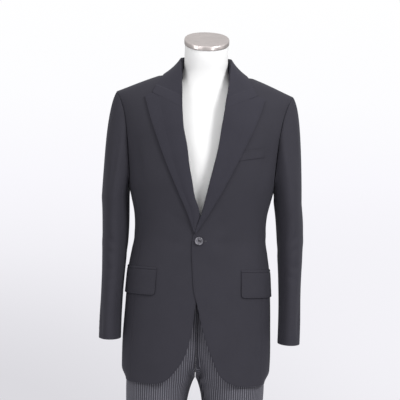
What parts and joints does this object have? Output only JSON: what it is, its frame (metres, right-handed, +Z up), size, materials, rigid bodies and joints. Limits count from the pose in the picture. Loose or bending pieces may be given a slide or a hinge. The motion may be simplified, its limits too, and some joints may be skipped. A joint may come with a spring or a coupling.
{
  "type": "stroller suit on a dress form",
  "caption": "Formal day suit, a black button-front jacket with peak lapels over striped grey trousers, worn by a limbless white dress form on a pole and a flat base.",
  "frame": {"origin": "on the floor, under the middle of the base plate, in the suit's plane of symmetry", "axes": "+Z up, the suit faces -Y, +X is the wearer's left"},
  "size_m": [0.5066, 0.34, 1.6602],
  "materials": {
    "jacket_cloth": "fine smooth wool, soft sheen",
    "trouser_cloth": "worsted wool, fine woven stripes",
    "horn": "satin horn",
    "form_skin": "smooth matt white",
    "satin_metal": "satin",
    "steel": "brushed"
  },
  "bodies": {
    "root": {"back_left": "jacket_cloth", "back_right": "jacket_cloth", "base_plate": "steel", "breast_welt": "jacket_cloth", "collar_fall": "jacket_cloth", "collar_stand": "jacket_cloth", "form_torso": "form_skin", "front_button": "horn", "front_left": "jacket_cloth", "front_right": "jacket_cloth", "hip_flap_left": "jacket_cloth", "hip_flap_right": "jacket_cloth", "hip_jet_left": "jacket_cloth", "hip_jet_right": "jacket_cloth", "lapel_left": "jacket_cloth", "lapel_right": "jacket_cloth", "neck_cap": "satin_metal", "pole": "steel", "pole_collar": "steel", "side_body_left": "jacket_cloth", "side_body_right": "jacket_cloth", "sleeve_button_left_1": "horn", "sleeve_button_left_2": "horn", "sleeve_button_left_3": "horn", "sleeve_button_left_4": "horn", "sleeve_button_right_1": "horn", "sleeve_button_right_2": "horn", "sleeve_button_right_3": "horn", "sleeve_button_right_4": "horn", "topsleeve_left": "jacket_cloth", "topsleeve_right": "jacket_cloth", "trouser_back_left": "trouser_cloth", "trouser_back_right": "trouser_cloth", "trouser_front_left": "trouser_cloth", "trouser_front_right": "trouser_cloth", "undersleeve_left": "jacket_cloth", "undersleeve_right": "jacket_cloth", "waistband_left": "trouser_cloth", "waistband_right": "trouser_cloth"}
  },
  "joints": []
}
